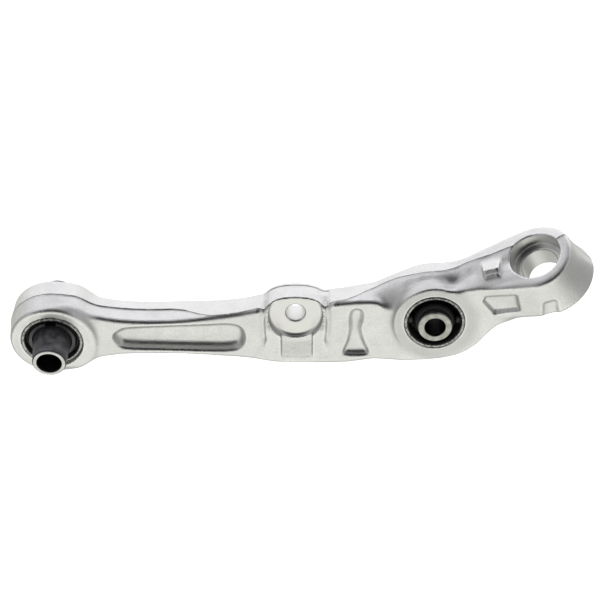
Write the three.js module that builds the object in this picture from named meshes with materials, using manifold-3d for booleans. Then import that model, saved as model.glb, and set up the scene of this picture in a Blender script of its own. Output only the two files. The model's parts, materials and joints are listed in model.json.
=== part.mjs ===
// Forged aluminium front lower control arm with its two bonded rubber bushes.
// Millimetres. The origin is the middle of the pivot bush, +X runs along the arm to the ball joint
// housing, -Y is the front (machined) side of the forging and +Z is up.
import * as THREE from 'three';
import { mergeVertices } from 'three/addons/utils/BufferGeometryUtils.js';
import Module from 'manifold-3d';

const wasm = await Module();
wasm.setup();

// ---- driving dimensions -------------------------------------------------------------------------
const GAP = 0.3; // clearance between neighbouring pieces

// Pivot eye and its bush. The bush axis leans: its front end points a little down.
const PIVOT_LEAN = THREE.MathUtils.degToRad(8);
const EYE_RADIUS = 31.7;
const EYE_HALF_WIDTH = 17;
const BUSH_BORE_RADIUS = 22.6;
const SLEEVE_WALL = 2;
const SHELL_RADIUS = 17;
const SHELL_WALL = 1.6;
const SHELL_GAP = THREE.MathUtils.degToRad(26);
const PIVOT_TUBE_RADIUS = 13.5;
const PIVOT_TUBE_END_RADIUS = 12.4;
const PIVOT_TUBE_BORE = 8.6;
const PIVOT_TUBE_FRONT = 40;
const PIVOT_TUBE_BACK = 38;

// Web between the pivot eye and the tab
const WEB_HALF_WIDTH = 14.3;
const DRAFT = 1.5; // how far a drafted flank leans in over one half of the forging
const EDGE = 1.2; // width of the softened edge between a flank and a face

// Upright tab for the stabiliser link
const TAB_HOLE = { x: 178.5, z: 19.1, radius: 7.1 };
const TAB_HALF_SPAN = 23.6;
const TAB_TOP = 33;
const TAB_FRONT = -10.5;
const TAB_BACK = 9.5;
const SPOTFACE_RADIUS = 19.1;
const PILLAR_FRONT = -17.4;

// Middle of the arm, between the tab and the shock absorber boss
const MID_FRONT = -15.8;
const MID_BACK = 9.5;

// Shock absorber boss and its bush
const SHOCK = { x: 279.4, z: 17.9 };
const SHOCK_FACE = -22;
const SHOCK_BACK = 14;
const BOSS_FACE_RADIUS = 29;
const BOSS_FOOT_RADIUS = 33;
const SHOCK_TUBE_RADIUS = 12.35;
const SHOCK_TUBE_BORE = 7.1;
const SHOCK_TUBE_PROUD = 5.6;
const SHOCK_COLLAR_RADIUS = 13.6;

// Ball joint housing: its axis leans inboard and to the front
const HOUSING_TOP = new THREE.Vector3(349.4, -10.2, 69.2);
const HOUSING_AXIS = new THREE.Vector3(-0.37, -0.335, 0.866).normalize();
const HOUSING_TOP_RADIUS = 26.6;
const HOUSING_FLARE = 7.2;
const HOUSING_HEIGHT = 31.5;
const BALL_BORE_RADIUS = 18.8;
const BALL_BORE_DEPTH = 13.5;
const BALL_SEAT_RADIUS = 13.5;

const ROUND_STEPS = 40;

// ---- frames -------------------------------------------------------------------------------------
// A piece is drawn in a local frame whose -Y is the way it faces, then carried to its place.
const PIVOT_FRAME = new THREE.Matrix4().makeRotationX(PIVOT_LEAN);
const SHOCK_FRAME = new THREE.Matrix4().makeTranslation(SHOCK.x, 0, SHOCK.z);
const HOUSING_FRAME = housingFrame();

function housingFrame() {
  const along = new THREE.Vector3(1, 0, 0).projectOnPlane(HOUSING_AXIS).normalize();
  const across = new THREE.Vector3().crossVectors(HOUSING_AXIS, along);
  const frame = new THREE.Matrix4().makeBasis(along, HOUSING_AXIS.clone().negate(), across);
  return frame.setPosition(HOUSING_TOP);
}

// ---- geometry helpers ---------------------------------------------------------------------------
function signedVolume(geometry) {
  const at = geometry.getAttribute('position');
  const index = geometry.getIndex();
  const corner = [new THREE.Vector3(), new THREE.Vector3(), new THREE.Vector3()];
  let volume = 0;
  for (let i = 0; i < index.count; i += 3) {
    corner.forEach((v, k) => v.fromBufferAttribute(at, index.getX(i + k)));
    volume += corner[0].dot(corner[1].clone().cross(corner[2])) / 6;
  }
  return volume;
}

function solid(geometry) {
  const bare = geometry.clone();
  bare.deleteAttribute('normal');
  bare.deleteAttribute('uv');
  const merged = mergeVertices(bare, 1e-4);
  const triVerts = Uint32Array.from(merged.getIndex().array);
  if (signedVolume(merged) < 0) {
    triVerts.reverse();
  }
  const vertProperties = Float32Array.from(merged.getAttribute('position').array);
  return new wasm.Manifold(new wasm.Mesh({ numProp: 3, vertProperties, triVerts }));
}

function toGeometry(body) {
  const mesh = body.getMesh();
  const geometry = new THREE.BufferGeometry();
  geometry.setAttribute('position', new THREE.BufferAttribute(mesh.vertProperties, 3));
  geometry.setIndex(new THREE.BufferAttribute(mesh.triVerts, 1));
  const flat = geometry.toNonIndexed();
  flat.computeVertexNormals();
  return flat;
}

// Moves a closed outline inward by a distance, along the mitre at each corner.
function insetOutline(points, distance) {
  return points.map((point, i) => {
    const before = points[(i + points.length - 1) % points.length];
    const after = points[(i + 1) % points.length];
    const into = point.clone().sub(before).normalize();
    const out = after.clone().sub(point).normalize();
    const inward = new THREE.Vector2(-into.y - out.y, into.x + out.x).normalize();
    const mitre = Math.max(0.5, inward.dot(new THREE.Vector2(-into.y, into.x)));
    return point.clone().addScaledVector(inward, distance / mitre);
  });
}

// A solid swept along local Y through one outline in the XZ plane. Each level is [y, inset], front
// first. The outline runs anticlockwise seen from the front.
function lofted(outline, levels) {
  const points = THREE.ShapeUtils.isClockWise(outline) ? outline.slice().reverse() : outline;
  const count = points.length;
  const vertices = [];
  const triangles = [];
  levels.forEach(([y, inset]) => {
    insetOutline(points, inset).forEach((p) => vertices.push(p.x, y, p.y));
  });
  THREE.ShapeUtils.triangulateShape(points, []).forEach(([a, b, c]) => {
    const last = (levels.length - 1) * count;
    triangles.push(a, b, c, last + a, last + c, last + b);
  });
  for (let ring = 0; ring < levels.length - 1; ring += 1) {
    for (let i = 0; i < count; i += 1) {
      const a = ring * count + i;
      const b = ring * count + ((i + 1) % count);
      triangles.push(a, a + count, b, b, a + count, b + count);
    }
  }
  const geometry = new THREE.BufferGeometry();
  geometry.setAttribute('position', new THREE.Float32BufferAttribute(vertices, 3));
  geometry.setIndex(triangles);
  return solid(geometry);
}

// A solid of revolution about local Y. Each profile point is [radius, y].
function turned(profile, steps = ROUND_STEPS) {
  const points = profile.map(([radius, y]) => new THREE.Vector2(radius, y));
  points.push(points[0].clone());
  return solid(new THREE.LatheGeometry(points, steps));
}

function disc(radius, front, back, backRadius = radius) {
  const points = [[0, front], [radius, front], [backRadius, back], [0, back]];
  const profile = points.map(([r, y]) => new THREE.Vector2(r, y));
  return solid(new THREE.LatheGeometry(profile, ROUND_STEPS));
}

function placed(body, frame) {
  return body.transform(frame.toArray());
}

function shifted(body, x, z) {
  return body.translate([x, 0, z]);
}

// A closed outline that runs smoothly through its points.
function smoothOutline(pairs, steps) {
  const through = pairs.map(([x, z]) => new THREE.Vector3(x, z, 0));
  const curve = new THREE.CatmullRomCurve3(through, true, 'centripetal');
  return curve.getPoints(steps).slice(0, -1).map((p) => new THREE.Vector2(p.x, p.y));
}

// A closed outline with straight sides and corners of one radius.
function roundedOutline(pairs, radius, steps = 4) {
  const corners = pairs.map(([x, z]) => new THREE.Vector2(x, z));
  const points = [];
  corners.forEach((corner, i) => {
    const toBefore = corners[(i + corners.length - 1) % corners.length].clone().sub(corner);
    const toAfter = corners[(i + 1) % corners.length].clone().sub(corner);
    const half = Math.acos(toBefore.dot(toAfter) / toBefore.length() / toAfter.length()) / 2;
    const reach = Math.min(radius / Math.tan(half), toBefore.length() * 0.45, toAfter.length() * 0.45);
    const start = corner.clone().add(toBefore.setLength(reach));
    const end = corner.clone().add(toAfter.setLength(reach));
    points.push(...new THREE.QuadraticBezierCurve(start, corner, end).getPoints(steps));
  });
  return points;
}

// Levels of a forged slab: widest at the parting line, leaning in to a softened edge at each face.
function forgedLevels(front, back, parting = 0, lean = DRAFT) {
  return [
    [front, lean + EDGE],
    [front + EDGE * 0.8, lean],
    [parting - 0.4, 0],
    [parting + 0.4, 0],
    [back - EDGE * 0.8, lean],
    [back, lean + EDGE],
  ];
}

// A cutter for a pocket: wide at the mouth, with sides that lean in to a floor.
function pocket(outline, mouth, depth, lean) {
  const above = -lean * 0.5;
  return lofted(outline, [[mouth - depth * 0.5, above], [mouth + depth * 0.7, lean * 0.6], [mouth + depth, lean]]);
}

// ---- the forging --------------------------------------------------------------------------------
function pivotEye() {
  const half = EYE_HALF_WIDTH;
  const outline = new THREE.Shape().absarc(0, 0, EYE_RADIUS, 0, Math.PI * 2).getSpacedPoints(48).slice(0, -1);
  return placed(lofted(outline, forgedLevels(-half, half, 0, 1.1)), PIVOT_FRAME);
}

function web() {
  const top = [[158, 25.6], [142, 21.2], [128, 18.6], [110, 16.6], [92, 15.1], [74, 14.5], [56, 15.2], [42, 17], [28, 20.4], [14, 26.5]];
  const bottom = [[14, -26.5], [28, -21.8], [42, -18.8], [58, -17.2], [108, -17.2], [138, -18.8], [158, -21.6]];
  const outline = smoothOutline([...top, [-4, 20], [-4, -20], ...bottom], 58);
  const slab = lofted(outline, forgedLevels(-WEB_HALF_WIDTH, WEB_HALF_WIDTH));
  return slab.subtract(upright([[108, 14.4], [162, 8.6], [162, 40], [108, 40]]));
}

// An upright prism with a plan outline in XY, tall enough to trim the whole arm.
function upright(plan) {
  const outline = plan.map(([x, y]) => new THREE.Vector2(x, y));
  const body = lofted(outline, [[-120, 0], [60, 0]]);
  return placed(body, new THREE.Matrix4().makeRotationX(-Math.PI / 2));
}

// Arched lug with a flat face each side.
function tab() {
  const { x } = TAB_HOLE;
  const side = TAB_HALF_SPAN;
  const arch = [[x - side, 0], [x - side, 18], [x - side + 3.6, 27.6], [x - 10, TAB_TOP - 1], [x, TAB_TOP]];
  const mirror = arch.slice(0, -1).reverse().map(([px, z]) => [2 * x - px, z]);
  const outline = smoothOutline([...arch, ...mirror, [x + side - 2, -19], [x, -20], [x - side + 2, -19]], 40);
  return lofted(outline, forgedLevels(TAB_FRONT, TAB_BACK, 1, 0.8));
}

// Two proud uprights on the front, either side of the spotface.
function pillar(sign) {
  const x = TAB_HOLE.x + sign * 17.6;
  const outline = roundedOutline([[x - 6.2, -10], [x + 6.2, -10], [x + 5.4, 26], [x - 5.4, 26]], 3);
  return lofted(outline, [[PILLAR_FRONT, 1.6], [PILLAR_FRONT + 1, 0.8], [-8, 0]]);
}

function middle() {
  const top = [[330, 52], [300, 46], [270, 42], [252, 32.4], [236, 33], [222, 31.8], [206, 30.8], [188, 27], [160, 24]];
  const bottom = [[150, 6], [151, -17], [160, -22.6], [190, -23.2], [214, -22.8], [236, -20.6], [262, -18.4], [284, -16.2],
    [300, -12], [312, -3.4], [319.5, 6.6], [330, 16.5], [341, 22]];
  return lofted(smoothOutline([...top, ...bottom], 60), forgedLevels(MID_FRONT, MID_BACK, -5, 1.2));
}

// Upper ridge behind the saddle, rising from the tab to the ball joint housing.
function ridge() {
  const top = [[344, 68], [334, 68.6], [321, 64.4], [307, 59], [296, 53.4], [284, 49.8], [270, 48.2], [256, 44.4],
    [243, 38.8], [230, 32.4], [216, 29.6], [204, 28]];
  const outline = smoothOutline([...top, [204, 6], [250, 4], [330, 24], [350, 44]], 40);
  return lofted(outline, [[-9, 7], [-4, 2], [-0.4, 0], [0.4, 0], [10.4, 1], [11.4, 2.2]]);
}

function shockBoss() {
  const profile = [[0, SHOCK_FACE], [BOSS_FACE_RADIUS - 1, SHOCK_FACE], [BOSS_FACE_RADIUS, SHOCK_FACE + 1],
    [BOSS_FOOT_RADIUS, -12], [BOSS_FOOT_RADIUS, 0], [BOSS_FACE_RADIUS, SHOCK_BACK - 1],
    [BOSS_FACE_RADIUS - 1, SHOCK_BACK], [0, SHOCK_BACK]];
  const points = profile.map(([r, y]) => new THREE.Vector2(r, y));
  return placed(solid(new THREE.LatheGeometry(points, 48)), SHOCK_FRAME);
}

// Round housing with a tail that runs back to the shock absorber boss. Its wall flares downward.
function ballHousing() {
  const shape = new THREE.Shape();
  shape.absarc(0, 0, HOUSING_TOP_RADIUS, -Math.PI * 0.56, Math.PI * 0.6);
  shape.splineThru([[-22, 19.4], [-40, 15.8], [-60, 12.5]].map(([x, z]) => new THREE.Vector2(x, z)));
  shape.lineTo(-64, -4);
  shape.splineThru([[-58, -15], [-50, -18.6], [-36, -21], [-20, -23.6]].map(([x, z]) => new THREE.Vector2(x, z)));
  const outline = shape.getPoints(7).filter((p, i, all) => i === 0 || p.distanceTo(all[i - 1]) > 0.5);
  const levels = [[0, 1.4], [1.2, 0], [HOUSING_HEIGHT - 4, -HOUSING_FLARE], [HOUSING_HEIGHT, -HOUSING_FLARE + 3]];
  const body = placed(lofted(outline, levels), HOUSING_FRAME);
  return body.subtract(upright([[262, 10.5], [306, 10.5], [352, 33], [352, 70], [262, 70]]));
}

function pip() {
  const outline = roundedOutline([[-37.5, -9], [-23, -9], [-23, -2], [-37.5, -2]], 2.4);
  return placed(lofted(outline, [[-3.4, 1.8], [1, -0.6]]), HOUSING_FRAME);
}

function forgedBlank() {
  return [web(), tab(), pillar(-1), pillar(1), middle(), ridge(), shockBoss(), ballHousing(), pip()]
    .reduce((body, part) => body.add(part), pivotEye());
}

function longRecess() {
  return smoothOutline([[44, 0], [50, 6.4], [58, 8.2], [80, 9.4], [110, 10.6], [130, 11.4], [139, 8],
    [141.6, 0], [139, -8.6], [130, -12], [108, -12.2], [80, -11.4], [58, -10.6], [49, -8.4]], 32);
}

function keystoneRecess() {
  return smoothOutline([[217.4, 18], [219, 24], [223.4, 25.8], [227.4, 23.6], [228, 17], [226.4, 8], [229, -3],
    [232.4, -12], [229, -15], [216, -15], [213, -12], [216, -2], [217.6, 8]], 26);
}

function wallRecess() {
  return roundedOutline([[312, 43.5], [337.5, 45.6], [343.4, 29], [320.5, 26.8], [312.6, 37.6]], 3);
}

function lowerNotch() {
  return roundedOutline([[355, 44], [370, 47], [375, 22], [359, 22]], 4);
}

function recesses() {
  const front = [
    pocket(longRecess(), -WEB_HALF_WIDTH, 6, 3.4),
    pocket(keystoneRecess(), MID_FRONT, 4, 2.4),
    pocket(wallRecess(), -24.5, 3.5, 2),
    pocket(lowerNotch(), -33, 4, 2),
  ];
  const back = pocket(longRecess(), -WEB_HALF_WIDTH, 6, 3.4).mirror([0, 1, 0]);
  return [...front, back];
}

function machining() {
  const { x, z, radius } = TAB_HOLE;
  const spot = shifted(disc(SPOTFACE_RADIUS, -30, TAB_FRONT), x, z);
  const hole = shifted(disc(radius, -40, 30), x, z);
  const between = roundedOutline([[x - 11, -15], [x + 12.4, -15], [x + 12.4, 16], [x - 11, 16]], 3);
  const shallow = lofted(between, [[-30, 0], [TAB_FRONT - 1.4, 0]]);
  const eyeBore = placed(disc(BUSH_BORE_RADIUS, -60, 60), PIVOT_FRAME);
  const shockBore = placed(disc(BUSH_BORE_RADIUS, -60, 60), SHOCK_FRAME);
  const wide = placed(disc(BALL_BORE_RADIUS, -30, BALL_BORE_DEPTH), HOUSING_FRAME);
  const narrow = placed(disc(BALL_SEAT_RADIUS, 0, 80), HOUSING_FRAME);
  return [spot, hole, shallow, eyeBore, shockBore, wide, narrow];
}

function armForging() {
  return [...recesses(), ...machining()].reduce((body, cut) => body.subtract(cut), forgedBlank());
}

// ---- bushes -------------------------------------------------------------------------------------
function ring(inner, outer, front, back) {
  return turned([[inner, front], [outer, front], [outer, back], [inner, back]]);
}

function pivotOuterSleeve() {
  const outer = BUSH_BORE_RADIUS - GAP;
  const half = EYE_HALF_WIDTH - 0.2;
  return placed(ring(outer - SLEEVE_WALL, outer, -half, half), PIVOT_FRAME);
}

function pivotRubberOuter() {
  const outer = BUSH_BORE_RADIUS - 2 * GAP - SLEEVE_WALL;
  const half = EYE_HALF_WIDTH - 2.4;
  return placed(ring(SHELL_RADIUS + GAP, outer, -half, half), PIVOT_FRAME);
}

// Half shell from gap to gap on one side: sign +1 is the outboard side.
function interleaf(sign) {
  const half = EYE_HALF_WIDTH - 1.6;
  const whole = ring(SHELL_RADIUS - SHELL_WALL, SHELL_RADIUS, -half, half);
  const slit = SHELL_RADIUS * Math.sin(SHELL_GAP / 2);
  const far = SHELL_RADIUS + 5;
  const keep = [[sign * slit * 0.5, -far], [sign * far, -far], [sign * far, far], [sign * slit * 0.5, far]];
  const wedge = [[0, 0], [slit * 2.2, far], [-slit * 2.2, far]].map(([x, z]) => new THREE.Vector2(x, z));
  const upper = lofted(wedge, [[-half - 1, 0], [half + 1, 0]]);
  const side = lofted(keep.map(([x, z]) => new THREE.Vector2(x, z)), [[-half - 1, 0], [half + 1, 0]]);
  return placed(whole.intersect(side).subtract(upper).subtract(upper.mirror([0, 0, 1])), PIVOT_FRAME);
}

function pivotRubberInner() {
  const half = EYE_HALF_WIDTH - 1.8;
  return placed(ring(PIVOT_TUBE_RADIUS + GAP, SHELL_RADIUS - SHELL_WALL - GAP, -half, half), PIVOT_FRAME);
}

function pivotInnerSleeve() {
  const front = -PIVOT_TUBE_FRONT;
  const back = PIVOT_TUBE_BACK;
  const body = EYE_HALF_WIDTH + 1;
  const chamfer = 0.8;
  return placed(turned([
    [PIVOT_TUBE_BORE + chamfer, front], [PIVOT_TUBE_END_RADIUS - chamfer, front],
    [PIVOT_TUBE_END_RADIUS, front + chamfer], [PIVOT_TUBE_RADIUS, -body], [PIVOT_TUBE_RADIUS, body],
    [PIVOT_TUBE_END_RADIUS, back - chamfer], [PIVOT_TUBE_END_RADIUS - chamfer, back],
    [PIVOT_TUBE_BORE + chamfer, back], [PIVOT_TUBE_BORE, back - chamfer], [PIVOT_TUBE_BORE, front + chamfer],
  ]), PIVOT_FRAME);
}

function shockOuterSleeve() {
  const outer = BUSH_BORE_RADIUS - GAP;
  return placed(ring(outer - SLEEVE_WALL, outer, SHOCK_FACE + 0.2, SHOCK_BACK - 0.2), SHOCK_FRAME);
}

// Skin inside the outer sleeve, a thick middle, and a collar round the inner sleeve. The hollow
// between skin and collar is bridged by two nibs at each face.
function shockRubber() {
  const skin = BUSH_BORE_RADIUS - 2 * GAP - SLEEVE_WALL;
  const inner = SHOCK_TUBE_RADIUS + GAP;
  const collar = SHOCK_COLLAR_RADIUS;
  const front = SHOCK_FACE + 1.4;
  const back = SHOCK_BACK - 1.4;
  const hollow = 10;
  const body = turned([
    [inner, front - 1.6], [collar - 0.3, front - 1.6], [collar + 1, front + hollow],
    [skin - 2.2, front + hollow], [skin - 1.4, front], [skin, front], [skin, back], [skin - 1.4, back],
    [skin - 2.2, back - hollow], [collar + 1, back - hollow], [collar - 0.3, back + 1.6], [inner, back + 1.6],
  ]);
  const bump = [-1, 1].flatMap((side) => {
    const x = side * (skin - 3.2);
    const outline = roundedOutline([[x - 2.2, -3.4], [x + 2.2, -3.4], [x + 2.2, 3.4], [x - 2.2, 3.4]], 1.6, 3);
    return [[front + 3, front + hollow + 1], [back - hollow - 1, back - 3]].map(([from, to]) => (
      lofted(outline, [[from, 0], [to, 0]])
    ));
  });
  const whole = bump.reduce((sum, nib) => sum.add(nib), body);
  return placed(whole.intersect(disc(skin, front - 5, back + 5)), SHOCK_FRAME);
}

function shockInnerSleeve() {
  const front = SHOCK_FACE - SHOCK_TUBE_PROUD;
  const back = SHOCK_BACK + SHOCK_TUBE_PROUD;
  const chamfer = 1;
  return placed(turned([
    [SHOCK_TUBE_BORE + chamfer, front], [SHOCK_TUBE_RADIUS - 0.6, front], [SHOCK_TUBE_RADIUS, front + 0.6],
    [SHOCK_TUBE_RADIUS, back - 0.6], [SHOCK_TUBE_RADIUS - 0.6, back], [SHOCK_TUBE_BORE + chamfer, back],
    [SHOCK_TUBE_BORE, back - chamfer], [SHOCK_TUBE_BORE, front + chamfer],
  ]), SHOCK_FRAME);
}

// ---- assembly -----------------------------------------------------------------------------------
const ALUMINIUM = { color: 0xd9dad6, metalness: 0.85, roughness: 0.42 };
const RUBBER = { color: 0x151515, metalness: 0, roughness: 0.8 };
const RING_STEEL = { color: 0x3b3b3c, metalness: 0.7, roughness: 0.5 };
const DARK_STEEL = { color: 0x4b4a4d, metalness: 0.7, roughness: 0.55 };
const PLATED_STEEL = { color: 0xa5a79e, metalness: 0.8, roughness: 0.4 };

const PIECES = [
  ['arm_forging', armForging(), ALUMINIUM],
  ['pivot_outer_sleeve', pivotOuterSleeve(), RING_STEEL],
  ['pivot_rubber_outer', pivotRubberOuter(), RUBBER],
  ['pivot_interleaf_left', interleaf(-1), DARK_STEEL],
  ['pivot_interleaf_right', interleaf(1), DARK_STEEL],
  ['pivot_rubber_inner', pivotRubberInner(), RUBBER],
  ['pivot_inner_sleeve', pivotInnerSleeve(), DARK_STEEL],
  ['shock_outer_sleeve', shockOuterSleeve(), RING_STEEL],
  ['shock_rubber', shockRubber(), RUBBER],
  ['shock_inner_sleeve', shockInnerSleeve(), PLATED_STEEL],
];

const group = new THREE.Group();
group.name = 'control_arm';
PIECES.forEach(([name, body, look]) => {
  const mesh = new THREE.Mesh(toGeometry(body), new THREE.MeshStandardMaterial(look));
  mesh.name = name;
  group.add(mesh);
});

export default group;
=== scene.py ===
"""Forged aluminium control arm over a pale studio floor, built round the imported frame.

The forging's surface is the zero level of a distance field worked out in millimetres.
The bush pieces are turned profiles. Everything placed in the scene is in metres.
"""
import json
import math

import bpy
import numpy as np
import openvdb
from mathutils import Matrix, Vector


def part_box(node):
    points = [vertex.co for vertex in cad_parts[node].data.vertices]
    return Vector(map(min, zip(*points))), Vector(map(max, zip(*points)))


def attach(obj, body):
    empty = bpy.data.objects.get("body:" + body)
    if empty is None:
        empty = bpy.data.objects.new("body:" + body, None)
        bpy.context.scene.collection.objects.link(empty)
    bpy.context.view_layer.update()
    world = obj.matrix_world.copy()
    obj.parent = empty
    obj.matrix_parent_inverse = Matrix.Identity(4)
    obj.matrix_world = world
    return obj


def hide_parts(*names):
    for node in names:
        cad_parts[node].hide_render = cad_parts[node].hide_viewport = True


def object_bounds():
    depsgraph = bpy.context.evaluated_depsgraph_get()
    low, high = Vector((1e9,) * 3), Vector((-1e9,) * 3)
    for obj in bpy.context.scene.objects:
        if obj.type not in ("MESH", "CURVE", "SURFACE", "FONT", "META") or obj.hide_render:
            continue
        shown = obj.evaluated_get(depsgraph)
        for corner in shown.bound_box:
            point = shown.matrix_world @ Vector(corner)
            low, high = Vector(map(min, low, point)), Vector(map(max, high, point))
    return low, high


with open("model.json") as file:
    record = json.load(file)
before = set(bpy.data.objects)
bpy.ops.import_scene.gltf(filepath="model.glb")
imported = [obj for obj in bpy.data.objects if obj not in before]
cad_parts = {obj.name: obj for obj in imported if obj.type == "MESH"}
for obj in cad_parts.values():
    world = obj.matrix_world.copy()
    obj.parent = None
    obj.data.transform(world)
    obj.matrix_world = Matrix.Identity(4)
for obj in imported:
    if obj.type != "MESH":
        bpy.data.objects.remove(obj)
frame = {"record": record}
CAD_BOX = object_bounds()

RECORD = frame["record"]
JOINTS = {joint["name"]: joint for joint in RECORD["behaviour"]["joints"]}
MOUNTS = {mount["name"]: mount for mount in RECORD["mounts"]}
MM = 1000.0

# ---- places, from the record ---------------------------------------------------------------------
PIVOT_AXIS = Vector(JOINTS["arm_swing"]["axis"])
PIVOT_FRAME = Matrix.Rotation(math.atan2(-PIVOT_AXIS.z, -PIVOT_AXIS.y), 4, "X")
SHOCK = Vector(JOINTS["shock_eye_turn"]["pos_m"]) * MM
SHOCK_FRAME = Matrix.Translation(SHOCK / MM)
# Two mounts lie on ring faces, this many millimetres from the middle of their holes.
LINK_SEAT_OFFSET = 11.0
RIM_OFFSET = 22.2
TAB_HOLE = Vector(MOUNTS["stabiliser_link_seat"]["pos_m"]) * MM - Vector((LINK_SEAT_OFFSET, 0, 0))
HOUSING_AXIS = Vector(MOUNTS["ball_joint_rim"]["axis"])
HOUSING_ALONG = (Vector((1, 0, 0)) - HOUSING_AXIS * HOUSING_AXIS.x).normalized()
HOUSING_TOP = Vector(MOUNTS["ball_joint_rim"]["pos_m"]) * MM - HOUSING_ALONG * RIM_OFFSET

# ---- sizes in millimetres ------------------------------------------------------------------------
EYE_RADIUS = 31.7
EYE_HALF_WIDTH = 17.0
EYE_BORE_RADIUS = 22.6
WEB_HALF_DEPTH = 14.3
KEYSTONE_FACE = -15.8
TAB_BACK = 9.5
LUG_PARTING = 4.8
LUG_SEAM_REACH = 24.5
SPOTFACE_RADIUS = 20.0
STUD_HOLE_RADIUS = 7.1
SHOCK_FACE = -22.0
SHOCK_BACK = 14.0
SHOCK_BOSS_RADIUS = 29.0
SHOCK_CLEAR_RADIUS = 36.0
SHOCK_BORE_RADIUS = 22.0
HOUSING_HEIGHT = 31.5
HOUSING_RADIUS = 26.8
TAIL_RADIUS = 13.6
TAIL_END = (-58, -3.2)
BALL_BORE_RADIUS = 18.8
BALL_BORE_DEPTH = 13.5
BALL_SEAT_RADIUS = 13.5
TUBE_FRONT = 40.0
TUBE_BACK = 38.0
PRESS_GAP = 0.2
VOXEL = 0.75

# Crest of the ridge that rises from the lug to the housing, as (x, z).
CREST = [(200, 20), (212, 26), (222, 29), (232, 32.4), (243, 38.4), (256, 44.6), (268, 49.4), (284, 51.4),
         (296, 52.4), (307, 56.4), (321, 62.4), (334, 68), (344, 71.5)]

# Depth of the parting line along the arm, as (x, y). It comes forward at the lug, boss and housing.
PARTING = [(-40, 0), (88, 0), (97, -2.2), (108, -8.4), (116, -11.4), (124, -12), (205, -12.6), (214, -12.4),
           (223, -8.6), (231, -3), (240, 0), (252, 0), (266, -3.6), (286, -3.6), (300, 1), (335, 3.4),
           (362, -4), (375, 0), (400, 0)]

# Dents in the tail: middle, spread along the arm, and depth. They spread alike in the other directions.
DIMPLES = [
    ((291, -13, 46.5), 7.0, 2.2),
    ((306, -9, 52), 4.6, 0.6),
    ((331, -8.5, 62.5), 4.6, 1.0),
]
DIMPLE_SPREAD = 4.6


# ---- distance fields -----------------------------------------------------------------------------
def soft_min(a, b, k):
    """Union with a fillet of about 0.85 k."""
    h = np.maximum(k - np.abs(a - b), 0) / k
    return np.minimum(a, b) - h * h * (k * 0.25)


def soft_max(a, b, k):
    """Intersection with its edge rounded to about 0.85 k."""
    return -soft_min(-a, -b, k)


def carve(body, tool, k):
    """Body less the tool."""
    return soft_max(body, -tool, k)


def smooth_loop(points, per=6):
    """Closed Catmull-Rom curve through the points."""
    p = np.array(points, dtype=float)
    t = np.linspace(0, 1, per, endpoint=False)[:, None]
    spans = []
    for i in range(len(p)):
        a, b, c, d = p[i - 1], p[i], p[(i + 1) % len(p)], p[(i + 2) % len(p)]
        spans.append(0.5 * (2 * b + (c - a) * t + (2 * a - 5 * b + 4 * c - d) * t ** 2
                            + (3 * b - a - 3 * c + d) * t ** 3))
    return np.concatenate(spans)


def loop_distance(u, v, loop):
    """Signed distance in a plane to a closed loop, negative inside."""
    best = np.full(np.broadcast(u, v).shape, 1e9, dtype=np.float32)
    sign = np.ones(best.shape, dtype=np.float32)
    for (au, av), (bu, bv) in zip(loop, np.roll(loop, -1, axis=0)):
        eu, ev = bu - au, bv - av
        wu, wv = u - au, v - av
        t = np.clip((wu * eu + wv * ev) / (eu * eu + ev * ev), 0, 1)
        best = np.minimum(best, (wu - t * eu) ** 2 + (wv - t * ev) ** 2)
        above, below, left = v >= av, v < bv, eu * wv > ev * wu
        sign = np.where((above & below & left) | (~above & ~below & ~left), -sign, sign)
    return sign * np.sqrt(best)


def capsule(u, v, near, far, near_radius, far_radius):
    """Signed distance in a plane to a tapered capsule between two circles."""
    du, dv = far[0] - near[0], far[1] - near[1]
    length = math.hypot(du, dv)
    slope = (near_radius - far_radius) / length
    reach = math.sqrt(1 - slope * slope)
    along = ((u - near[0]) * du + (v - near[1]) * dv) / length
    aside = np.abs((v - near[1]) * du - (u - near[0]) * dv) / length
    k = reach * along - slope * aside
    start = np.hypot(along, aside) - near_radius
    end = np.hypot(along - length, aside) - far_radius
    middle = aside * reach + along * slope - near_radius
    return np.where(k < 0, start, np.where(k > reach * length, end, middle))


class Space:
    """Regular grid round the forging, with x, y and z as arrays that broadcast together."""

    def __init__(self):
        low, high = (np.array(corner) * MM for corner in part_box("arm_forging"))
        margin = 5 * VOXEL + 2
        self.origin = low - margin
        count = ((high - low + 2 * margin) / VOXEL).astype(int) + 1
        x, y, z = ((self.origin[i] + VOXEL * np.arange(count[i])).astype(np.float32) for i in range(3))
        self.x, self.y, self.z = x[:, None, None], y[None, :, None], z[None, None, :]

    def along(self, stations, values):
        """A function of x that runs softly through a few stations."""
        fine = np.linspace(stations[0] - 10, stations[-1] + 10, 900)
        rough = np.interp(fine, stations, values)
        width = int(7 / (fine[1] - fine[0]))
        kernel = np.hanning(width)
        soft = np.convolve(np.pad(rough, width, mode="edge"), kernel / kernel.sum(), mode="same")
        return np.interp(self.x, fine, soft[width:-width]).astype(np.float32)

    def outline(self, points):
        """Distance to a rounded outline in the front view."""
        return loop_distance(self.x, self.z, smooth_loop(points))

    def polygon(self, points):
        """Distance to a straight-sided outline in the front view."""
        return loop_distance(self.x, self.z, np.array(points, dtype=float))

    def local(self, origin, along, facing):
        """Coordinates (s, h, t) in a leaning frame, h rising the way it faces."""
        offset = (self.x - origin[0], self.y - origin[1], self.z - origin[2])
        across = facing.cross(along)
        return [sum(offset[i] * axis[i] for i in range(3)) for axis in (along, facing, across)]


def parting_depth(g):
    """Depth at which the forging dies meet. It leans with the pivot eye's axis near the eye."""
    tilt = PIVOT_AXIS.z / PIVOT_AXIS.y
    return g.along(*zip(*PARTING)) - tilt * g.z * g.along([12, 48], [1, 0])


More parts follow.
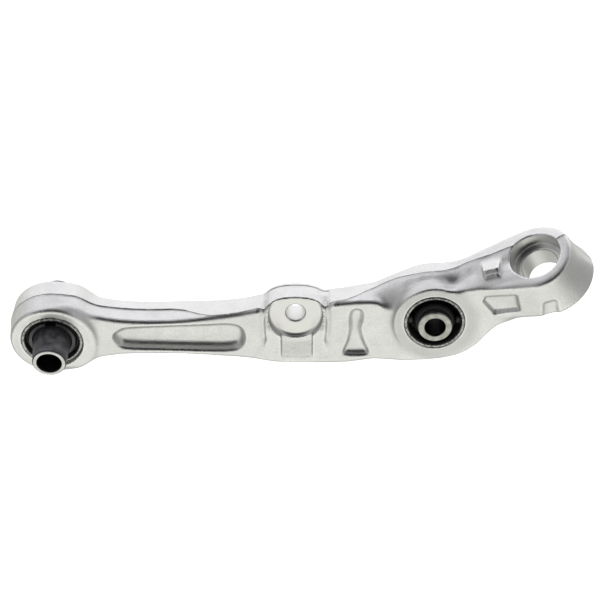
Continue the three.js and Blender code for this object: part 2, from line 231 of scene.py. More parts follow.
def plate(g, parting):
    """Web and middle of the arm, from the pivot eye to under the ball joint housing."""
    top = [(14, 26.5), (28, 20.4), (42, 17), (56, 15.2), (74, 14.6), (92, 15.2), (110, 16.6), (128, 18.8),
           (142, 21.6), (154, 25), (166, 27), (188, 27.4), (206, 30.2), (216, 31.6), (226, 33), (234, 33.4),
           (240, 32.6), (247, 28.4), (254, 29), (262, 36), (270, 41.4), (279, 43), (290, 43.4),
           (302, 43.6), (316, 46), (334, 49)]
    bottom = [(343, 28), (338, 19.4), (327, 13.4), (319.5, 6), (312, -3.4), (300, -12), (284, -16.2),
              (262, -18.4), (236, -20.6), (214, -22.8), (190, -23.2), (166, -22.8), (152, -20.6),
              (138, -18.8), (108, -17.2), (58, -17.2), (42, -18.8), (28, -21.8), (14, -26.5)]
    return g.outline([(-6, 18), *top, *bottom, (-6, -18)]) + 0.09 * np.abs(g.y - parting)


def between_faces(g, body):
    """Trims the plate to its front and back faces, whose edges are softened."""
    web = WEB_HALF_DEPTH
    front = g.along([0, 138, 156, 236, 246, 257, 340], [-web, -web, -15.6, -15.9, -18.4, -21.3, -22])
    back = g.along([0, 106, 160, 290, 360], [web, web, TAB_BACK, 9.8, 11.5])
    return soft_max(body, np.maximum(front - g.y, g.y - back), g.along([250, 262], [3.4, 2.6]))


def saddle(g, parting):
    """Signed height over the slope in front of the crest: rounded, then a plane along the tail."""
    crest = g.along(*zip(*CREST))
    ahead = np.clip(parting - g.y, 0, None)
    tail = g.along([277, 291], [0, 1])
    rounding = g.along([240, 247, 256, 264], [0.024, 0.025, 0.022, 0.055])
    fall = (0.2 * ahead + rounding * ahead ** 2) * (1 - tail) + 0.387 * ahead * tail
    return (g.z - crest + fall) * 0.88


def ridge(g, slope):
    """Upper flank that rises from the lug to the housing."""
    side = g.outline([*CREST, (352, 44), (330, 24), (250, 6), (214, 8)]) + 0.09 * np.abs(g.y)
    return soft_max(side, slope, 1.2)


def shock_boss(g):
    """Boss that widens behind its face, most below and outboard, and narrows again to its back."""
    radius = np.hypot(g.x - SHOCK.x, g.z - SHOCK.z)
    cone = np.maximum(np.clip((SHOCK.z + 8 - g.z) / 12, 0, 1), np.clip((g.x - 296) / 8, 0, 1))
    wall = (radius - SHOCK_BOSS_RADIUS - (0.1 + 0.3 * cone) * np.clip(g.y - SHOCK_FACE, -3, 10)) * 0.93
    behind = radius - SHOCK_BOSS_RADIUS - 0.3 * (SHOCK_BACK - g.y)
    return soft_max(np.maximum(wall, behind), np.maximum(SHOCK_FACE - g.y, g.y - SHOCK_BACK), 2.2)


def lug(g):
    """Arched lug. Going down, its front leans out to below the hole, then in to be flush at the foot."""
    x, z = TAB_HOLE.x, TAB_HOLE.z
    half = [(20.6, -34), (22.4, -19), (23.2, -10), (23.4, -3), (23.1, 2.2), (21.9, 6), (19, 9.1),
            (14.4, 11.7), (8, 13.4)]
    arch = half + [(0, 13.9)] + [(-dx, dz) for dx, dz in half[::-1]]
    side = g.outline([(x + dx, z + dz) for dx, dz in arch])
    side = side + 0.02 * np.clip(LUG_PARTING - g.y, 0, None) + 0.08 * np.clip(g.y - LUG_PARTING, 0, None)
    front = -15.7 - 1.5 * np.clip((g.z + 12) / 17, 0, 1) + 4.6 * np.clip((g.z - 8) / 22, 0, 1)
    seam = 0.3 * np.exp(-((g.y - LUG_PARTING) / 0.7) ** 2)
    return soft_max(side, np.maximum(front - g.y, g.y - TAB_BACK), 2.6) - seam


def lug_pocket(g):
    """Tool for the pocket under the spotface. Going down, its floor comes forward until it runs out."""
    side = np.abs(g.x - TAB_HOLE.x - 0.9) - 11.4
    floor = np.clip(-13 + 0.15 * (g.z + 4), -17.5, -13)
    return soft_max(side, g.y - floor, 1.6)


def groove(g):
    """How far the plate's front dips beside the lug, running out downward."""
    beside = np.clip(1 - (np.abs(g.x - TAB_HOLE.x) - 22) / 7, 0, 1)
    return 3.4 * beside ** 2 * np.clip((g.z + 18) / 26, 0, 1) * np.clip((-g.y - 2) / 8, 0, 1)


def pivot_eye(s, h, t):
    """Drafted eye with softened faces."""
    return soft_max(np.hypot(s, t) - EYE_RADIUS + 0.07 * np.abs(h), np.abs(h) - EYE_HALF_WIDTH, 3.0)


def housing(g, s, h, t):
    """Round housing whose wall flares downward, with a tail that runs back to the boss."""
    depth = np.clip(-h, 0, HOUSING_HEIGHT - 4)
    outboard, behind = (np.clip(side / (np.hypot(s, t) + 1), 0, 1) for side in (s, t))
    curve = 0.0098 * depth ** 2 - 0.18 * depth
    flare = (0.25 - 0.14 * behind) * depth + outboard * (1 - 0.6 * behind) * curve
    wall = capsule(s, t, (0, 0), TAIL_END, HOUSING_RADIUS, TAIL_RADIUS) - flare
    rim = soft_max(wall, h, 4.2 - 1.8 * np.clip((-s - 14) / 14, 0, 1))
    body = soft_max(rim, -h - HOUSING_HEIGHT, 3.6)
    back = (g.y - 10.5 - 0.489 * np.clip(g.x - 306, 0, None)) * 0.95
    return soft_max(body, back, 7)


def raised_block(s, h, t):
    """Small raised block on the tail: stepped in front, running out behind."""
    steps = [(4, -1), (0, 1.6), (-7, 4), (-9.2, 2.3), (-10.8, 2.2), (-14, -1.5), (-14, -5), (4, -5)]
    return soft_max(np.abs(s + 32) - 6.8 - 0.1 * t, loop_distance(t, h, np.array(steps)), 1.5)


def pocket(side, into, depth, lean, fillet):
    """Tool for a pocket: its walls lean in to a floor with round corners."""
    walls = (side + lean * np.clip(into, -1, depth)) / math.hypot(1, lean)
    return soft_max(walls, into - depth, fillet)


def recesses(g):
    """Tools for the forged recesses, each with the rounding of its mouth."""
    long = g.outline([(44, 0), (50, 6.4), (58, 8.2), (80, 9.4), (110, 10.6), (130, 11.4), (139, 8), (141.6, 0),
                      (139, -8.6), (130, -12), (108, -12.2), (80, -11.4), (58, -10.6), (49, -8.4)])
    keystone = g.outline([(217.4, 18), (219, 24), (223.4, 25.8), (227.4, 23.6), (228, 17), (226.4, 8),
                          (229, -3), (232.4, -12), (229, -15), (216, -15), (213, -12), (216, -2), (217.6, 8)])
    wall = g.polygon([(315.1, 37), (316, 40.4), (335.8, 45.6), (338.9, 33.1), (322.6, 27.8)]) - 1.6
    beside = g.y + 25.8 + 0.245 * (g.x - 330) + 0.2 * (g.z - 36)
    notch = g.polygon([(358.4, 40.5), (362.6, 42), (365, 26), (359, 26)]) - 3.4
    below = g.y + 33.5 - 0.12 * np.clip(42 - g.z, 0, None)
    return [
        (pocket(long, g.y + WEB_HALF_DEPTH, 6, 0.5, 3), 1.6),
        (pocket(long, WEB_HALF_DEPTH - g.y, 6, 0.58, 5), 2.0),
        (pocket(keystone, g.y - KEYSTONE_FACE, 3.6, 0.6, 2.2), 1.4),
        (pocket(wall, beside, 3.2, 0.6, 1.6), 1.2),
        (pocket(notch, below, 2.6, 0.5, 2.5), 1.6),
    ]


def bore(radius, across, into, chamfer=0.4):
    """Tool for a bore whose mouth, where into is zero, has a small chamfer."""
    return radius - across - np.clip(chamfer - into, 0, chamfer)


def machining(g, eye, ball):
    """Tools for the machined seats and bores."""
    s, h, t = eye
    eye_bore = bore(np.hypot(s, t), EYE_BORE_RADIUS, EYE_HALF_WIDTH - np.abs(h))
    shock_depth = np.minimum(g.y - SHOCK_FACE, SHOCK_BACK - g.y)
    shock_bore = bore(np.hypot(g.x - SHOCK.x, g.z - SHOCK.z), SHOCK_BORE_RADIUS, shock_depth)
    stud = np.hypot(g.x - TAB_HOLE.x, g.z - TAB_HOLE.z)
    spotface = soft_max(stud - SPOTFACE_RADIUS, g.y - TAB_HOLE.y, 3.2)
    stud_hole = bore(stud, STUD_HOLE_RADIUS, np.minimum(g.y - TAB_HOLE.y, TAB_BACK - g.y))
    s, h, t = ball
    wide = np.maximum(bore(np.hypot(s, t), BALL_BORE_RADIUS, -h, 0.5), -h - BALL_BORE_DEPTH)
    narrow = bore(np.hypot(s, t), BALL_SEAT_RADIUS, -h - BALL_BORE_DEPTH, 0.5)
    return np.minimum.reduce(np.broadcast_arrays(eye_bore, shock_bore, spotface, stud_hole, wide, narrow))


def forging_fields(g):
    """The blank before its recesses, the forging with them, the machining tools and the parting depth."""
    parting = parting_depth(g)
    eye = g.local((0, 0, 0), Vector((1, 0, 0)), PIVOT_AXIS)
    ball = g.local(HOUSING_TOP, HOUSING_ALONG, HOUSING_AXIS)
    slope = saddle(g, parting)
    body = between_faces(g, soft_min(plate(g, parting), ridge(g, slope), 4))
    body = soft_min(body, shock_boss(g), 3.2)
    before_face = np.maximum(np.hypot(g.x - SHOCK.x, g.z - SHOCK.z) - SHOCK_CLEAR_RADIUS, g.y - SHOCK_FACE)
    body = carve(body, before_face, 1.2)
    body = soft_min(body, pivot_eye(*eye), 9)
    body = soft_min(body, housing(g, *ball), 3.5)
    # The housing's rim plane trims the top. It leans down behind the parting line and rises to the boss.
    lean = 0.24 * np.clip(g.y - parting - 1, 0, None)
    rise = 0.014 * np.clip(-ball[0] - 30, 0, None) ** 2
    body = soft_max(body, ball[1] + lean - rise, 2)
    for (x, y, z), spread, depth in DIMPLES:
        across = ((g.y - y) / DIMPLE_SPREAD) ** 2
        away = ((g.x - x) / spread) ** 2 + across + ((g.z - z) / DIMPLE_SPREAD) ** 2
        body = body + depth * np.exp(-away)
    flash = g.along([-40, 4, 20, 92, 110, 400], [0.3, 0.3, 0.7, 0.7, 0.35, 0.35])
    body = body - flash * np.exp(-((g.y - parting) / 0.8) ** 2)
    body = soft_min(body + groove(g), lug(g), 2.2)
    body = soft_min(body, raised_block(*ball), 2.0)
    blank = body
    body = carve(body, lug_pocket(g), 1.0)
    for tool, edge in recesses(g):
        body = carve(body, tool, edge)
    return blank, body, machining(g, eye, ball), parting


def sample(g, field, points):
    """Field values at points, by trilinear interpolation."""
    where = (points - g.origin) / VOXEL
    base = np.clip(where.astype(int), 0, np.array(field.shape) - 2)
    f = where - base
    total = np.zeros(len(points))
    for corner in np.ndindex(2, 2, 2):
        weight = np.prod(np.where(corner, f, 1 - f), axis=1)
        total += weight * field[tuple((base + corner).T)]
    return total


def build_forging():
    """Meshes the field. Masks on its points tell the material what is machined or worn, where the painted dark
    reflection runs along the seam, and where shade is painted round the shock boss.
    """
    g = Space()
    blank, forged, tools, parting = forging_fields(g)
    forged = np.ascontiguousarray(forged, dtype=np.float32)
    whole = np.ascontiguousarray(soft_max(forged, -tools, 0.7), dtype=np.float32)
    grid = openvdb.FloatGrid(3 * VOXEL)
    grid.copyFromArray(whole)
    points, quads = grid.convertToQuads(isovalue=0.0)
    points = points.astype(float) * VOXEL + g.origin
    bend = sum(np.gradient(np.gradient(whole, VOXEL, axis=i), VOXEL, axis=i) for i in range(3))
    x, y, z = points.T
    # The seam mask places a painted dark reflection: a thin near-black line along the parting line that stands
    # in for the dark studio reflected in the flash.
    width = np.interp(x, [-40, 4, 20, 92, 106, 400], [0.4, 0.45, 1.0, 1.0, 0.45, 0.4])
    seam = sample(g, np.broadcast_to(g.y - parting, whole.shape), points) / width
    on_lug = (np.abs(x - TAB_HOLE.x) < LUG_SEAM_REACH) & (z > TAB_HOLE.z + 8)
    seam = np.where(on_lug, (y - LUG_PARTING) / 0.75, seam)
    in_recess = sample(g, blank, points) < -0.7
    seam = np.where(in_recess, 4, seam)
    masks = {
        "machined": np.clip((-sample(g, forged, points) - 0.3) / 0.3, 0, 1),
        "edge": np.clip(sample(g, bend, points), -1, 1),
        "seam": np.clip(seam, -4, 4),
        # The boss mask places painted shade: it darkens the front face round the shock boss.
        "boss": np.clip((35.5 - np.hypot(x - SHOCK.x, z - SHOCK.z)) / 7, 0, 1) * (y < -12),
    }
    mesh = bpy.data.meshes.new("arm_body")
    mesh.from_pydata(points / MM, [], quads[:, ::-1].tolist())
    for name, values in masks.items():
        mesh.attributes.new(name, "FLOAT", "POINT").data.foreach_set("value", values.astype(np.float32))
    mesh.shade_smooth()
    mesh.update()
    return piece("arm_body", mesh, Matrix.Identity(4), "arm", ["arm_forging"])


# ---- turned pieces -------------------------------------------------------------------------------
def rounded(profile, radius, steps=4):
    """Profile with its corners rounded. Each point is (radius, depth)."""
    corners = [Vector(p) for p in profile]
    points = []
    for i, corner in enumerate(corners):
        before, after = corners[i - 1] - corner, corners[(i + 1) % len(corners)] - corner
        reach = min(radius, before.length * 0.45, after.length * 0.45)
        start, end = corner + before.normalized() * reach, corner + after.normalized() * reach
        for k in range(steps + 1):
            t = k / steps
            points.append(start * (1 - t) ** 2 + corner * (2 * t * (1 - t)) + end * t ** 2)
    return points


def turned_mesh(name, profile, radius=0.35, steps=144, sweep=None):
    """Closed profile turned about local Y. sweep is (start, end) in radians for a part turn."""
    loop = rounded(profile, radius)
    closed = sweep is None
    start, end = (0, 2 * math.pi) if closed else sweep
    turns = steps if closed else max(12, int(steps * (end - start) / (2 * math.pi)))
    rings = turns if closed else turns + 1
    span = (end - start) / turns
    vertices = []
    for i in range(rings):
        angle = start + span * i
        vertices += [(p.x * math.cos(angle) / MM, p.y / MM, p.x * math.sin(angle) / MM) for p in loop]
    count = len(loop)
    faces = []
    for i in range(turns):
        for j in range(count):
            k, n = (j + 1) % count, (i + 1) % rings
            faces.append((i * count + j, i * count + k, n * count + k, n * count + j))
    if not closed:
        faces.append(tuple(range(count))[::-1])
        faces.append(tuple((rings - 1) * count + j for j in range(count)))
    mesh = bpy.data.meshes.new(name)
    mesh.from_pydata(vertices, [], faces)
    mesh.shade_smooth()
    mesh.set_sharp_from_angle(angle=math.radians(50))
    return mesh


def piece(name, mesh, place, body, nodes):
    """A shown piece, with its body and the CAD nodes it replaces."""
    obj = bpy.data.objects.new(name, mesh)
    bpy.context.scene.collection.objects.link(obj)
    obj.matrix_world = place
    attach(obj, body)
    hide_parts(*nodes)
    return obj


def turned(name, profile, place, body, slot, **options):
    """A turned piece that stands for the CAD node its name starts with."""
    obj = piece(name + "_turned", turned_mesh(name, profile, **options), place, body, [name])
    obj.modifiers.new("weighted", "WEIGHTED_NORMAL").keep_sharp = True
    return obj


def ring(inner, outer, front, back):
    """Profile of a plain sleeve."""
    return [(inner, front), (outer, front), (outer, back), (inner, back)]


def build_pivot_bush():
    """Outer sleeve, two layers of rubber with half shells between them, and the long inner sleeve."""
    half = EYE_HALF_WIDTH - 0.1
    sleeve = turned("pivot_outer_sleeve", ring(20.3, EYE_BORE_RADIUS - PRESS_GAP, -half, half), PIVOT_FRAME,
                    "arm", "ring_steel", radius=0.7)
    outer = turned("pivot_rubber_outer", [
        (17.3, -14.4), (18.4, -12.6), (19.2, -12.8), (20, -15.6), (20.25, -15.6), (20.25, 15.6), (20, 15.6),
        (19.2, 12.8), (18.4, 12.6), (17.3, 14.4)], PIVOT_FRAME, "arm", "rubber", radius=0.6)
    inner = turned("pivot_rubber_inner", [
        (13.6, -15.4), (13.9, -15.4), (14.2, -13.4), (14.4, -13.6), (14.4, 13.6), (14.2, 13.4), (13.9, 15.4),
        (13.6, 15.4)], PIVOT_FRAME, "pivot_sleeve", "rubber", radius=0.5)
    shells = []
    half_gap = math.radians(14)
    reach = math.pi / 2 - half_gap
    for name, middle in (("pivot_interleaf_right", 0.0), ("pivot_interleaf_left", math.pi)):
        shells.append(turned(name, ring(14.5, 17.1, -15.9, 15.9), PIVOT_FRAME, "pivot_shells", "shell_steel",
                             radius=0.3, sweep=(middle - reach, middle + reach)))
    front, back = -TUBE_FRONT, TUBE_BACK
    tube = turned("pivot_inner_sleeve", [
        (9.4, front), (11.5, front), (12.4, front + 1.1), (13.5, -18), (13.5, 18), (12.4, back - 1.1),
        (11.5, back), (9.4, back), (8.6, back - 1.3), (8.6, front + 1.3)], PIVOT_FRAME, "pivot_sleeve",
        "phosphated_steel", radius=0.4)
    return sleeve, outer, inner, shells, tube


def nib_mesh(x, front, back):
    """Rounded bump across the hollow, as rings along local Y."""
    outline = smooth_loop([(2.6, 0), (1.9, 2.6), (0, 3.4), (-1.9, 2.6), (-2.6, 0), (-1.9, -2.6), (0, -3.4),
                           (1.9, -2.6)], 4)
    rings = [(front, 0.3), (front + 0.3, 0.75), (front + 1.2, 0.97), (back, 1.0)]
    vertices = [((x + p[0] * size) / MM, y / MM, p[1] * size / MM) for y, size in rings for p in outline]
    count = len(outline)
    faces = [tuple(range(count))]
    for i in range(len(rings) - 1):
        for j in range(count):
            k = (j + 1) % count
            faces.append((i * count + j, (i + 1) * count + j, (i + 1) * count + k, i * count + k))
    faces.append(tuple((len(rings) - 1) * count + j for j in range(count))[::-1])
    mesh = bpy.data.meshes.new("nib")
    mesh.from_pydata(vertices, [], faces)
    mesh.shade_smooth()
    return mesh


def build_shock_bush():
    """Outer sleeve, one moulding of rubber with two nibs at each end, and the short inner sleeve."""
    front, back = SHOCK_FACE, SHOCK_BACK
    outside = SHOCK_BORE_RADIUS - PRESS_GAP
    sleeve = turned("shock_outer_sleeve", ring(outside - 2, outside, front + 0.1, back - 0.1), SHOCK_FRAME,
                    "arm", "ring_steel", radius=0.8)
    profile = [
        (12.5, front - 0.4), (13.2, front - 0.4), (14.6, front + 2.4), (15.2, front + 10), (17.6, front + 11),
        (18.6, front + 9), (19, front + 2), (19.4, front + 1), (19.7, front + 1)]
    mirrored = [(r, back - (y - front)) for r, y in profile[::-1]]
    rubber = turned("shock_rubber", profile + mirrored, SHOCK_FRAME, "arm", "rubber", radius=0.9)
    middle, tip, root = 17.6, 3.4, 12
    nibs = [nib_mesh(side * middle, front + tip, front + root) for side in (-1, 1)]
    back_nibs = [nib_mesh(side * middle, tip - back, root - back) for side in (-1, 1)]
    for mesh in back_nibs:
        mesh.transform(Matrix.Rotation(math.pi, 4, "Z"))
    parts = [bpy.data.objects.new("nib", mesh) for mesh in nibs + back_nibs]
    for part in parts:
        bpy.context.scene.collection.objects.link(part)
        part.matrix_world = SHOCK_FRAME
    bpy.context.view_layer.update()
    with bpy.context.temp_override(active_object=rubber, selected_editable_objects=[rubber, *parts]):
        bpy.ops.object.join()
    proud = 5.6
    a, b = front - proud, back + proud
    tube = turned("shock_inner_sleeve", [
        (8, a), (11.8, a), (12.35, a + 0.6), (12.35, b - 0.6), (11.8, b), (8, b), (7.1, b - 1), (7.1, a + 1)],
        SHOCK_FRAME, "shock_sleeve", "plated_steel", radius=0.4)
    return sleeve, rubber, tube


# ---- materials -----------------------------------------------------------------------------------
class Nodes:
    """Short ways to add and link the nodes of one tree."""

    def __init__(self, tree):
        self.nodes = tree.nodes
        self.links = tree.links

    def fill(self, socket, value):
        """Links a socket to another one, or sets it to a colour or a number."""
        if isinstance(value, bpy.types.NodeSocket):
            self.links.new(value, socket)
        elif isinstance(value, tuple):
            socket.default_value = (*value, 1)
        else:
            socket.default_value = value

    def math(self, operation, a, b):
        node = self.nodes.new("ShaderNodeMath")
        node.operation = operation
        self.fill(node.inputs[0], a)
        self.fill(node.inputs[1], b)
        return node.outputs[0]

    def span(self, value, low, high, to_low=0.0, to_high=1.0, shape="LINEAR"):
        """Maps one range of values to another, held at both ends."""
        node = self.nodes.new("ShaderNodeMapRange")
        node.interpolation_type = shape
        limits = {"From Min": low, "From Max": high, "To Min": to_low, "To Max": to_high}
        for socket, number in limits.items():
            node.inputs[socket].default_value = number
        self.links.new(value, node.inputs["Value"])
        return node.outputs["Result"]

    def mix(self, factor, a, b):
        """Mixes two numbers."""
        node = self.nodes.new("ShaderNodeMix")
        self.links.new(factor, node.inputs["Factor"])
        self.fill(node.inputs["A"], a)
        self.fill(node.inputs["B"], b)
        return node.outputs["Result"]

    def blend(self, factor, a, b):
        """Mixes two colours."""
        node = self.nodes.new("ShaderNodeMix")
        node.data_type = "RGBA"
        self.links.new(factor, node.inputs["Factor"])
        for socket, colour in zip([s for s in node.inputs if s.type == "RGBA"], (a, b)):
            self.fill(socket, colour)
        return [s for s in node.outputs if s.type == "RGBA"][0]


class Look(Nodes):
    """A procedural material on one principled shader."""

    def __init__(self, name, metallic, roughness):
        self.material = bpy.data.materials.new(name)
        self.material.use_nodes = True
        super().__init__(self.material.node_tree)
        self.shader = self.nodes["Principled BSDF"]
        self.shader.inputs["Metallic"].default_value = metallic
        self.shader.inputs["Roughness"].default_value = roughness
        self.place = self.nodes.new("ShaderNodeTexCoord").outputs["Object"]

    def noise(self, size, detail=3.0, rough=0.55):
        """Noise with features of the given size in metres."""
        node = self.nodes.new("ShaderNodeTexNoise")
        node.inputs["Scale"].default_value = 1 / size
        node.inputs["Detail"].default_value = detail
        node.inputs["Roughness"].default_value = rough
        self.links.new(self.place, node.inputs["Vector"])
        return node.outputs["Fac"]

    def inside(self, radius):
        """One within a radius of the piece's own Y axis, in metres, and zero outside."""
        split = self.nodes.new("ShaderNodeSeparateXYZ")
        self.links.new(self.place, split.inputs[0])
        squares = [self.math("POWER", split.outputs[axis], 2) for axis in ("X", "Z")]
        return self.span(self.math("ADD", *squares), radius ** 2, (radius + 0.0003) ** 2, 1, 0)

    def attribute(self, name):
        """A mask kept on the mesh."""
        node = self.nodes.new("ShaderNodeAttribute")
        node.attribute_name = name
        return node.outputs["Fac"]

    def bump(self, height, distance, strength, under=None):
        """Relief, on top of the relief under it."""
        node = self.nodes.new("ShaderNodeBump")
        node.inputs["Distance"].default_value = distance
        node.inputs["Strength"].default_value = strength
        self.links.new(height, node.inputs["Height"])
        if under is not None:
            self.links.new(under, node.inputs["Normal"])
        return node.outputs["Normal"]

    def set(self, socket, value):
        """Links a value to the shader."""
        self.links.new(value, self.shader.inputs[socket])


def forged_aluminium():
    """Shot blasted skin with fine grain and faint mottling. Machined seats are smoother and greyer. Shade is
    painted round the shock boss, and a dark reflection is painted along the parting line.
    """
    look = Look("forged_aluminium", 1.0, 0.36)
    machined = look.attribute("machined")
    edge = look.attribute("edge")
    mottle = look.noise(0.028, 4)
    grain = look.noise(0.0011, 3, 0.6)
    skin = look.blend(look.span(mottle, 0.35, 0.68), (0.745, 0.75, 0.73), (0.80, 0.80, 0.79))
    skin = look.blend(look.span(grain, 0.35, 0.7, 0, 0.7), skin, (0.62, 0.62, 0.61))
    # Painted shade: the front face round the shock boss is darkened towards grey.
    skin = look.blend(look.math("MULTIPLY", look.attribute("boss"), 0.6), skin, (0.5, 0.5, 0.485))
    worn = look.blend(look.span(edge, 0.15, 0.7, 0, 0.5), skin, (0.84, 0.84, 0.83))
    # Painted dark reflection: a thin ragged near-black line along the parting line stands in for the dark
    # studio reflected in the flash.
    seam = look.span(look.math("ABSOLUTE", look.attribute("seam"), 0), 0.5, 1.3, 1, 0)
    ragged_seam_reflection = look.math("MULTIPLY", seam, look.span(look.noise(0.006, 3), 0.25, 0.6, 0.45, 1))
    seam_dark_reflection = look.blend(ragged_seam_reflection, worn, (0.05, 0.05, 0.05))
    cut = look.blend(look.noise(0.004, 2), (0.70, 0.705, 0.68), (0.76, 0.76, 0.74))
    look.set("Base Color", look.blend(machined, seam_dark_reflection, cut))
    skin_rough = look.math("SUBTRACT", look.span(look.noise(0.009, 3), 0.3, 0.7, 0.30, 0.42),
                           look.span(edge, 0.1, 0.5, 0, 0.13))
    look.set("Roughness", look.mix(machined, skin_rough, 0.32))
    forged = look.math("SUBTRACT", 1.0, machined)
    fine = look.bump(look.math("MULTIPLY", grain, forged), 0.00026, 0.7)
    dents = look.bump(look.math("MULTIPLY", look.noise(0.012, 2), forged), 0.0012, 0.25, fine)
    look.set("Normal", dents)
    return look.material


def rubber():
    """Satin black moulding, faintly clouded."""
    look = Look("rubber", 0.0, 0.5)
    cloud = look.noise(0.006, 3)
    look.set("Base Color", look.blend(cloud, (0.008, 0.008, 0.008), (0.02, 0.02, 0.02)))
    look.set("Roughness", look.span(look.noise(0.0025, 3), 0.3, 0.7, 0.4, 0.62))
    look.set("Normal", look.bump(look.noise(0.0008, 2), 0.0001, 0.4))
    return look.material


def ring_steel():
    """Thin pressed sleeve: dark skin, with its end rubbed bright in specks."""
    look = Look("ring_steel", 1.0, 0.4)
    specks = look.span(look.noise(0.0016, 3, 0.65), 0.4, 0.66)
    look.set("Base Color", look.blend(specks, (0.18, 0.18, 0.18), (0.62, 0.62, 0.60)))
    look.set("Roughness", look.span(look.noise(0.002, 2), 0.3, 0.7, 0.3, 0.5))
    look.set("Normal", look.bump(look.noise(0.0007, 2), 0.0001, 0.4))
    return look.material


def dark_steel(name, dark, light, ends=None):
    """Phosphated steel with cloudy mottling. ends places a sleeve's bright end faces, in millimetres; with
    ends, the bore is also painted near black as painted shade.
    """
    look = Look(name, 0.75, 0.45)
    cloud = look.span(look.noise(0.006, 5, 0.62), 0.36, 0.66)
    colour = look.blend(cloud, dark, light)
    if ends:
        along = look.nodes.new("ShaderNodeSeparateXYZ")
        look.links.new(look.place, along.inputs[0])
        for end in ends:
            outward = look.math("MULTIPLY", along.outputs["Y"], math.copysign(MM, end))
            tip = look.span(outward, abs(end) - 0.35, abs(end) - 0.1)
            turned_end = look.blend(look.noise(0.005, 3), (0.52, 0.52, 0.50), (0.82, 0.82, 0.80))
            colour = look.blend(tip, colour, turned_end)
        # Painted shade: the bore, inside this radius, is painted near black.
        bore_shade_radius = 0.009
        colour = look.blend(look.inside(bore_shade_radius), colour, (0.016, 0.016, 0.014))
    look.set("Base Color", colour)
    look.set("Roughness", look.span(look.noise(0.003, 3), 0.3, 0.7, 0.36, 0.55))
    look.set("Normal", look.bump(look.noise(0.0009, 3), 0.00012, 0.5))
    return look.material


def plated_steel():
    """Dull zinc over a turned end. The bore is bare steel, painted near black as painted shade."""
    look = Look("plated_steel", 1.0, 0.34)
    cloud = look.span(look.noise(0.004, 4), 0.34, 0.66)
    zinc = look.blend(cloud, (0.31, 0.32, 0.275), (0.52, 0.525, 0.50))
    # Painted shade: the bore, inside this radius, is painted near black.
    bore_shade_radius = 0.0076
    look.set("Base Color", look.blend(look.inside(bore_shade_radius), zinc, (0.012, 0.012, 0.011)))
    look.set("Roughness", look.span(look.noise(0.002, 3), 0.3, 0.7, 0.28, 0.44))
    look.set("Normal", look.bump(look.noise(0.0006, 2), 0.00008, 0.4))
    return look.material


# ---- studio --------------------------------------------------------------------------------------
def build_camera():
    """Long lens from the front and above, turned to a point near the middle of the arm."""
    target = SHOCK / MM + Vector((-0.09764, 0, 0.00535))
    elevation = math.radians(34)
    distance = 1.465
    data = bpy.data.cameras.new("camera")
    data.sensor_width = 36
    data.lens = 120
    data.clip_end = 50
    camera = bpy.data.objects.new("camera", data)
    bpy.context.scene.collection.objects.link(camera)
    camera.location = target + Vector((0, -math.cos(elevation), math.sin(elevation))) * distance
    camera.rotation_euler = (math.pi / 2 - elevation, 0, 0)
    bpy.context.scene.camera = camera


def build_floor():
    """Pale disc, low enough that the arm can swing over it."""
    drop = 0.17
    rim, rings = 96, (0.5, 1.5, 4.0, 9.0)
    centre = (CAD_BOX[0] + CAD_BOX[1]) / 2
    vertices = [(centre.x, centre.y, -drop)]
    for radius in rings:
        vertices += [(centre.x + radius * math.cos(2 * math.pi * i / rim),
                      centre.y + radius * math.sin(2 * math.pi * i / rim), -drop) for i in range(rim)]
    faces = [(0, 1 + i, 1 + (i + 1) % rim) for i in range(rim)]
    for k in range(len(rings) - 1):
        a, b = 1 + k * rim, 1 + (k + 1) * rim
        faces += [(a + i, b + i, b + (i + 1) % rim, a + (i + 1) % rim) for i in range(rim)]
    mesh = bpy.data.meshes.new("floor")
    mesh.from_pydata(vertices, [], faces)
    floor = bpy.data.objects.new("floor", mesh)
    bpy.context.scene.collection.objects.link(floor)
    look = Look("floor", 0.0, 0.9)
    look.set("Base Color", look.blend(look.noise(0.4, 1), (0.93, 0.93, 0.925), (0.95, 0.95, 0.945)))
    mesh.materials.append(look.material)
    floor.visible_glossy = False


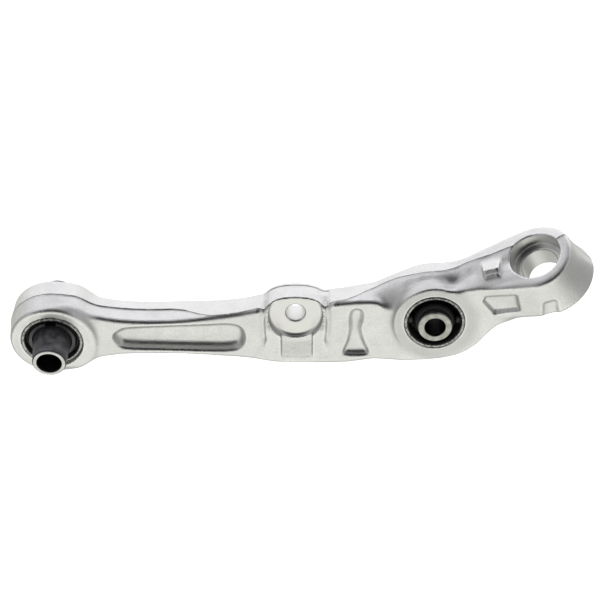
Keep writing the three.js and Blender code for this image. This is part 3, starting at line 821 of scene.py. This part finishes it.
def build_world():
    """White studio. The camera sees it plain. The arm sees it darkest round the camera, dim overhead, to
    the sides and low behind, and a little brighter low in front and straight behind.
    """
    world = bpy.data.worlds.new("studio")
    bpy.context.scene.world = world
    world.use_nodes = True
    sky = Nodes(world.node_tree)
    background = sky.nodes["Background"]
    direction = sky.nodes.new("ShaderNodeTexCoord").outputs["Generated"]
    split = sky.nodes.new("ShaderNodeSeparateXYZ")
    sky.links.new(direction, split.inputs[0])
    x, y, z = split.outputs

    def patch(towards, low, high, level):
        """Level of the sky round one direction, back to one away from it."""
        facing = sky.nodes.new("ShaderNodeVectorMath")
        facing.operation = "DOT_PRODUCT"
        facing.inputs[1].default_value = towards
        sky.links.new(direction, facing.inputs[0])
        return sky.span(facing.outputs["Value"], low, high, 1, level, "SMOOTHSTEP")

    camera_side = patch((0, -0.829, 0.559), 0.6, 0.94, 0.03)
    overhead = patch((0, -0.35, 0.937), 0.6, 0.93, 0.27)
    sides = sky.span(sky.math("ABSOLUTE", x, 0), 0.5, 0.95, 1, 0.42, "SMOOTHSTEP")
    low_behind = patch((0, 0.6, -0.8), 0.35, 0.75, 0.6)
    low_front = patch((0, -0.83, -0.56), 0.5, 0.9, 1.1)
    behind = sky.span(y, 0.35, 0.85, 1.0, 1.25, "SMOOTHSTEP")
    level = camera_side
    for part in (overhead, sides, low_behind, low_front, behind):
        level = sky.math("MULTIPLY", level, part)
    tint = sky.blend(sky.span(z, -0.4, 0.6, 0, 1, "SMOOTHSTEP"), (1.0, 1.0, 0.955), (0.985, 0.98, 1.02))
    camera_ray = sky.nodes.new("ShaderNodeLightPath").outputs["Is Camera Ray"]
    sky.links.new(sky.blend(camera_ray, tint, (1.0, 1.0, 1.0)), background.inputs["Color"])
    sky.links.new(sky.mix(camera_ray, level, 1.0), background.inputs["Strength"])


def build_key():
    """Wide soft light from overhead."""
    data = bpy.data.lights.new("overhead", "SUN")
    data.angle = 1.3
    data.energy = 2.6
    lamp = bpy.data.objects.new("overhead", data)
    bpy.context.scene.collection.objects.link(lamp)
    lamp.visible_glossy = False


def main():
    """Builds the studio and the ten pieces, then gives each piece its material."""
    build_camera()
    build_floor()
    build_world()
    build_key()
    arm = build_forging()
    pivot_sleeve, pivot_outer, pivot_inner, shells, pivot_tube = build_pivot_bush()
    shock_sleeve, shock_rubber, shock_tube = build_shock_bush()
    black = rubber()
    steel = ring_steel()
    shell = dark_steel("shell_steel", (0.06, 0.06, 0.063), (0.12, 0.12, 0.125))
    phosphate = dark_steel("phosphated_steel", (0.05, 0.048, 0.054), (0.15, 0.146, 0.155),
                           (-TUBE_FRONT, TUBE_BACK))
    looks = [
        (forged_aluminium(), [arm]),
        (steel, [pivot_sleeve, shock_sleeve]),
        (black, [pivot_outer, pivot_inner, shock_rubber]),
        (shell, shells),
        (phosphate, [pivot_tube]),
        (plated_steel(), [shock_tube]),
    ]
    for material, objects in looks:
        for obj in objects:
            obj.data.materials.clear()
            obj.data.materials.append(material)
    bpy.context.scene.view_settings.view_transform = "Standard"


main()
